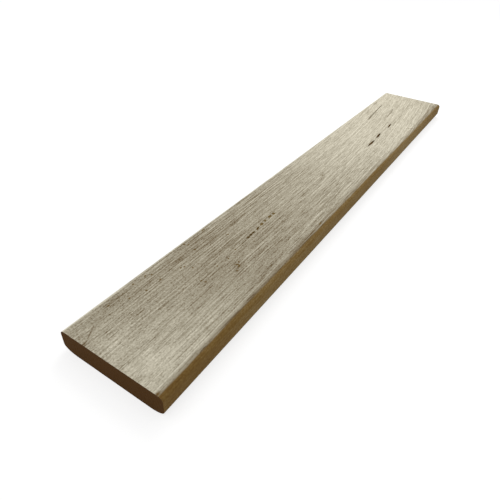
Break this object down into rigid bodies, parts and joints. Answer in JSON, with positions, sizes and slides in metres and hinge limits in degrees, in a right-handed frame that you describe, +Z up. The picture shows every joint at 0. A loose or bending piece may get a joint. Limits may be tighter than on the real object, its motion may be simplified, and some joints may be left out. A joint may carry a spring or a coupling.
{
  "type": "timber plank",
  "caption": "Straight hardwood plank of flat section with rounded long edges and square sawn ends, its upper face weathered and opened by short drying splits.",
  "frame": {"origin": "middle of the underside, on the surface that the plank lies on", "axes": "+X along the length and the grain, +Y across the width, +Z up through the thickness to the weathered face"},
  "size_m": [0.635, 0.09, 0.019],
  "materials": {
    "timber": "bare weathered hardwood, silver grey above and brown on the edges and sawn ends"
  },
  "bodies": {
    "root": {"plank": "timber"}
  },
  "joints": []
}
